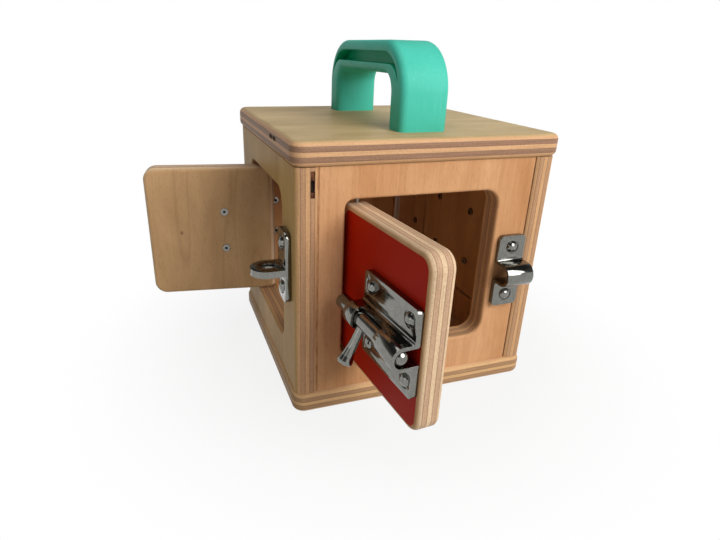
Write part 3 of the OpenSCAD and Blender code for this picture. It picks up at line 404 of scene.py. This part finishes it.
def nickel_plate(name, smoothest, roughest):
    """Nickel plate over steel: bright, uneven in tone from handling haze and the strip's fine grain."""
    material, tree, shader = new_material(name)
    shader.inputs["Metallic"].default_value = 1.0
    place = add(tree, "TexCoord").outputs["Object"]
    haze = add(tree, "TexNoise", {"Vector": place, "Scale": 1 / HAZE, "Detail": 4.0}).outputs["Fac"]
    grain = add(tree, "TexNoise", {"Vector": place, "Scale": 1 / STRIP_GRAIN, "Detail": 2.0}).outputs["Fac"]
    waves = add(tree, "TexNoise", {"Vector": place, "Scale": 1 / STRIP_WAVES, "Detail": 1.0}).outputs["Fac"]
    uneven = add(tree, "Mix", {"Factor": 0.7, VALUE_A: haze, VALUE_B: grain}).outputs[0]
    tone = add(tree, "ValToRGB", {"Fac": uneven})
    set_ramp(tone, [(0.4, NICKEL_DULL), (0.6, NICKEL_BRIGHT)])
    tree.links.new(tone.outputs[0], shader.inputs["Base Color"])
    polish = add(tree, "MapRange", {"Value": haze, "From Min": 0.35, "From Max": 0.7,
                                    "To Min": smoothest, "To Max": roughest}).outputs[0]
    tree.links.new(polish, shader.inputs["Roughness"])
    bump = add(tree, "Bump", {"Height": waves, "Strength": 0.15, "Distance": 0.25 * MM})
    tree.links.new(bump.outputs[0], shader.inputs["Normal"])
    return material


body_of = {name: body for body, names in frame["record"]["behaviour"]["bodies"].items() for name in names}
MERGE_WITHIN, SLIVER, NEARLY_FLAT = 0.002 * MM, 0.02 * MM, math.radians(0.05)
SHARP = math.radians(35)


def softened(name, material, width):
    """A copy of a CAD node with its sharp edges rounded, standing in for the node."""
    bm = bmesh.new()
    bm.from_mesh(nodes[name].data)
    bmesh.ops.remove_doubles(bm, verts=bm.verts, dist=MERGE_WITHIN)
    bmesh.ops.dissolve_degenerate(bm, edges=bm.edges, dist=SLIVER)
    bmesh.ops.dissolve_limit(bm, angle_limit=NEARLY_FLAT, verts=bm.verts, edges=bm.edges)
    bmesh.ops.triangulate(bm, faces=[face for face in bm.faces if len(face.verts) > 4])
    for face in bm.faces:
        face.smooth = True
    piece = put(bm, name + "_soft", body_of[name], material)
    bevel = piece.modifiers.new("rounded edges", "BEVEL")
    bevel.width = width
    bevel.segments = 2
    bevel.limit_method = "ANGLE"
    bevel.angle_limit = SHARP
    bevel.loop_slide = False
    bevel.harden_normals = True
    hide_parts(name)


STRIP_PIECES = ["bolt_plate", "bolt_keeper", "hook_plate", "hook_catch", "slide_plate", "slide_bar",
                "slide_keeper", "hasp_leaf", "hasp_strap", "staple_plate", "turn_button"]
STRIP_ROUND = 0.25 * MM
rolled_nickel = nickel_plate("nickel plated rolled strip", 0.07, 0.14)
for name in STRIP_PIECES:
    softened(name, rolled_nickel, STRIP_ROUND)

# Rivets of steel with the same plating, a domed head outside and a hollow tail. They go right
# through the wood, and the tail is rolled over on its inner face. The hook's pivot is fixed so too.
RIVET_SETS = ["bolt_plate_rivets", "bolt_keeper_rivets", "hook_rivet", "hook_catch_rivets",
              "slide_plate_rivets", "slide_keeper_rivets", "hasp_leaf_rivets", "staple_plate_rivets"]
RIVET_ROUND = 0.45 * MM
turned_nickel = nickel_plate("polished nickel plate", 0.06, 0.16)
for name in RIVET_SETS:
    softened(name, turned_nickel, RIVET_ROUND)

DOOR_TAILS = {"front": ["bolt_plate_rivets"], "right": ["slide_plate_rivets"],
              "back": ["hasp_leaf_rivets"], "left": ["hook_rivet", "hook_pivot"]}
PANEL_TAILS = {"front": ["bolt_keeper_rivets"], "right": ["slide_keeper_rivets"],
               "back": ["staple_plate_rivets"], "left": ["hook_catch_rivets"]}
TAIL_APART, TAIL_END = 8 * MM, 0.05 * MM
DISH_R, DISH_FOOT_R, DISH_DEEP, DISH_DOWN = 1.15 * MM, 0.805 * MM, 1.2 * MM, 0.12 * MM
DISH_SIDES = 20
bore_shade = mottled("painted shade in a rivet's bore", "#12100E", "#38322C", 0.4)


def hollow_tails(name, yaw):
    """A dark dish of painted shade in the bore of each rolled tail; the tails' rings are the node's innermost
    points.
    """
    outward = Vector((math.sin(math.radians(yaw)), -math.cos(math.radians(yaw)), 0))
    points = [vert.co for vert in nodes[name].data.vertices]
    inmost = min(point.dot(outward) for point in points)
    rings = []
    for point in [p for p in points if p.dot(outward) < inmost + TAIL_END]:
        ring = next((r for r in rings if (r[0] - point).length < TAIL_APART), None)
        if ring:
            ring.append(point)
        else:
            rings.append([point])
    facing = outward.to_track_quat("Z", "Y").to_matrix().to_4x4()
    bm = bmesh.new()
    for ring in rings:
        middle = Vector((max(axis) + min(axis)) / 2 for axis in zip(*ring))
        place = Matrix.Translation(middle + outward * (DISH_DOWN + DISH_DEEP / 2))
        bmesh.ops.create_cone(bm, cap_ends=True, segments=DISH_SIDES, radius1=DISH_R, radius2=DISH_FOOT_R,
                              depth=DISH_DEEP, matrix=place @ facing)
    put(bm, name + "_hollows", body_of[name], bore_shade)


for side, yaw in SIDES.items():
    for name in DOOR_TAILS[side]:
        hollow_tails(name, door_yaw[side])
    for name in PANEL_TAILS[side]:
        hollow_tails(name, yaw)

# Rod, knobs, hook and pins of the latches: turned or bent from steel bar, polished and nickel plated.
# Their true rounds come from the frame, so they only take the finish.
dress(turned_nickel, "bolt_rod", "bolt_knob", "hook_pivot", "hook_arm", "slide_knob", "hasp_pin")


# Carrying handle: one moulded bridge of teal polypropylene, screwed on from under the lid.
# A groove runs along each side of the bar, and its edges are slightly rounded by the mould.
TEAL_DEEP, TEAL, TEAL_RUBBED_SHEEN, TEAL_GROOVE_SHADE = "#48BCA4", "#52C8B2", "#8FE0D0", "#08B482"
TEAL_CLOUD, GROOVE_REACH = 18 * MM, 9 * MM
MOULD_GRIT = 0.5 * MM  # drawn coarser than it is, to show
RUB_MARKS = (0.9 * MM, 0.9 * MM, 22 * MM)


def moulded_teal():
    """Moulded polypropylene: fine spark-eroded grit, a low sheen, upright rub marks lightened partly as painted
    sheen, and painted shade that makes the grooves deep green.
    """
    material, tree, shader = new_material("teal moulded polypropylene")
    place = add(tree, "TexCoord").outputs["Object"]
    cloud = add(tree, "TexNoise", {"Vector": place, "Scale": 1 / TEAL_CLOUD, "Detail": 2.0}).outputs["Fac"]
    grit = add(tree, "TexNoise", {"Vector": place, "Scale": 1 / MOULD_GRIT, "Detail": 2.0}).outputs["Fac"]
    tint = add(tree, "Mix", {"Factor": cloud, COLOUR_A: linear(TEAL_DEEP), COLOUR_B: linear(TEAL)},
               data_type="RGBA").outputs[COLOUR_OUT]
    drawn = add(tree, "Mapping", {"Vector": place, "Scale": [1 / size for size in RUB_MARKS]}).outputs[0]
    rubs = add(tree, "TexNoise", {"Vector": drawn, "Scale": 1.0, "Detail": 2.0}).outputs["Fac"]
    # The rub marks lighten the colour in upright streaks: partly real rubbing, partly painted sheen
    rub_sheen = add(tree, "MapRange", {"Value": rubs, "From Min": 0.55, "From Max": 0.75,
                                    "To Max": 0.16}).outputs[0]
    worn = add(tree, "Mix", {"Factor": rub_sheen, COLOUR_A: tint, COLOUR_B: linear(TEAL_RUBBED_SHEEN)},
               data_type="RGBA").outputs[COLOUR_OUT]
    # Painted shade: the colour turns deep green where the handle's own shape closes in, as in the grooves
    open_air = add(tree, "AmbientOcclusion", {"Distance": GROOVE_REACH}, samples=8,
                   only_local=True).outputs["AO"]
    unshaded = add(tree, "MapRange", {"Value": open_air, "From Min": 0.48, "From Max": 0.85}).outputs[0]
    teal = add(tree, "Mix", {"Factor": unshaded, COLOUR_A: linear(TEAL_GROOVE_SHADE), COLOUR_B: worn},
               data_type="RGBA").outputs[COLOUR_OUT]
    tree.links.new(teal, shader.inputs["Base Color"])
    wear = add(tree, "Mix", {"Factor": 0.5, VALUE_A: grit, VALUE_B: rubs}).outputs[0]
    sheen = add(tree, "MapRange", {"Value": wear, "From Min": 0.35, "From Max": 0.65,
                                   "To Min": 0.5, "To Max": 0.36}).outputs[0]
    tree.links.new(sheen, shader.inputs["Roughness"])
    shader.inputs["Specular IOR Level"].default_value = 0.1
    bump = add(tree, "Bump", {"Height": grit, "Strength": 0.15, "Distance": 0.06 * MM})
    tree.links.new(bump.outputs[0], shader.inputs["Normal"])
    return material


MOULD_ROUND = 1.1 * MM
softened("handle", moulded_teal(), MOULD_ROUND)


# Studio: a pale floor of background paper that keeps the shadow, and white all round it.
# A darker ceiling gives the bright metal something to reflect.
def seen_rays(tree):
    """One for the rays that show the background to the camera, off metal and through glass."""
    path = add(tree, "LightPath").outputs
    seen = add(tree, "Math", {0: path["Is Camera Ray"], 1: path["Is Glossy Ray"]},
               operation="MAXIMUM").outputs[0]
    return add(tree, "Math", {0: seen, 1: path["Is Transmission Ray"]}, operation="MAXIMUM").outputs[0]


FLOOR_HALF = 6.0
# Metres from the middle: the paper shows its shadow up to the first, and is pure white past the second
SHADE_NEAR, SHADE_FAR = 0.09, 0.22
SHADE_WHITE = 0.86
paper, tree, shader = new_material("white background paper")
shader.inputs["Base Color"].default_value = linear("#BEBEBB")
shader.inputs["Roughness"].default_value = 0.9
shader.inputs["Specular IOR Level"].default_value = 0.0
place = add(tree, "TexCoord").outputs["Object"]
spread = add(tree, "VectorMath", {0: place}, operation="LENGTH").outputs["Value"]
whitened = add(tree, "MapRange", {"Value": spread, "From Min": SHADE_NEAR, "From Max": SHADE_FAR,
                                  "To Min": SHADE_WHITE, "To Max": 1.0},
               interpolation_type="SMOOTHSTEP").outputs[0]
share = add(tree, "Math", {0: seen_rays(tree), 1: whitened}, operation="MULTIPLY").outputs[0]
glow = add(tree, "Emission", {"Color": linear(WHITE), "Strength": 1.0}).outputs[0]
blend = add(tree, "MixShader", {0: share, 1: shader.outputs[0], 2: glow}).outputs[0]
tree.links.new(blend, tree.nodes["Material Output"].inputs["Surface"])

bm = bmesh.new()
bmesh.ops.create_grid(bm, x_segments=1, y_segments=1, size=FLOOR_HALF)
floor_mesh = bpy.data.meshes.new("floor")
bm.to_mesh(floor_mesh)
bm.free()
floor_mesh.materials.append(paper)
floor = bpy.data.objects.new("floor", floor_mesh)
bpy.context.scene.collection.objects.link(floor)

# The room that the camera and metal see, by height: 0 is level and 1 straight up
ROOM = [(0.0, WHITE), (0.24, WHITE), (0.36, "#7C7C7C"), (0.65, "#3F3F3F")]
AMBIENT = 0.12
world = bpy.data.worlds.new("studio")
bpy.context.scene.world = world
world.use_nodes = True
tree = world.node_tree
ambient = tree.nodes["Background"]
ambient.inputs["Color"].default_value = linear(WHITE)
ambient.inputs["Strength"].default_value = AMBIENT
way = add(tree, "TexCoord").outputs["Generated"]
height = add(tree, "SeparateXYZ", {"Vector": way}).outputs["Z"]
room = add(tree, "ValToRGB", {"Fac": height})
set_ramp(room, ROOM)
backdrop = add(tree, "Background", {"Color": room.outputs[0], "Strength": 1.0}).outputs[0]
blend = add(tree, "MixShader", {0: seen_rays(tree), 1: ambient.outputs[0], 2: backdrop}).outputs[0]
tree.links.new(blend, tree.nodes["World Output"].inputs["Surface"])


# Lights: round soft boxes, the key light to the right of the camera, a weak one above, one behind
# that stays out of the metal's reflections, and a faint fill on the left.
def soft_box(name, place, aim, size, power, shine=True):
    """A round area light that faces the middle of a CAD node, in metres and watts."""
    lamp = bpy.data.lights.new(name, "AREA")
    lamp.shape = "DISK"
    lamp.size = size
    lamp.energy = power
    holder = bpy.data.objects.new(name, lamp)
    bpy.context.scene.collection.objects.link(holder)
    holder.visible_glossy = shine
    holder.location = place
    away = holder.location - middle_of(aim)
    holder.rotation_euler = away.to_track_quat("Z", "Y").to_euler()


soft_box("key light", place=(0.42, -1.0, 0.72), aim="front_panel", size=1.0, power=16.4)
soft_box("top light", place=(-0.2, 0.0, 1.3), aim="lid_panel", size=0.9, power=3.4)
soft_box("back light", place=(0.7, 1.2, 0.5), aim="back_panel", size=0.7, power=7.0, shine=False)
soft_box("left fill", place=(-1.1, -0.5, 0.5), aim="left_panel", size=0.6, power=0.8)

# Camera where the photograph was taken from: close, a little above and to the left of the front.
# Its place, turn, lens and shift were fitted to the box's edges there.
CAMERA_PLACE = (-136.83 * MM, -315.88 * MM, 194.6 * MM)
CAMERA_TURN = (66.81, -1.412, -18.906)
camera = bpy.data.cameras.new("camera")
camera.sensor_width = 36.0
camera.lens = 26.32
camera.shift_x = 0.0297
camera.shift_y = 0.0035
camera.clip_start = 0.01
holder = bpy.data.objects.new("camera", camera)
holder.location = CAMERA_PLACE
holder.rotation_euler = [math.radians(angle) for angle in CAMERA_TURN]
bpy.context.scene.collection.objects.link(holder)
bpy.context.scene.camera = holder
bpy.context.scene.view_settings.view_transform = "Standard"
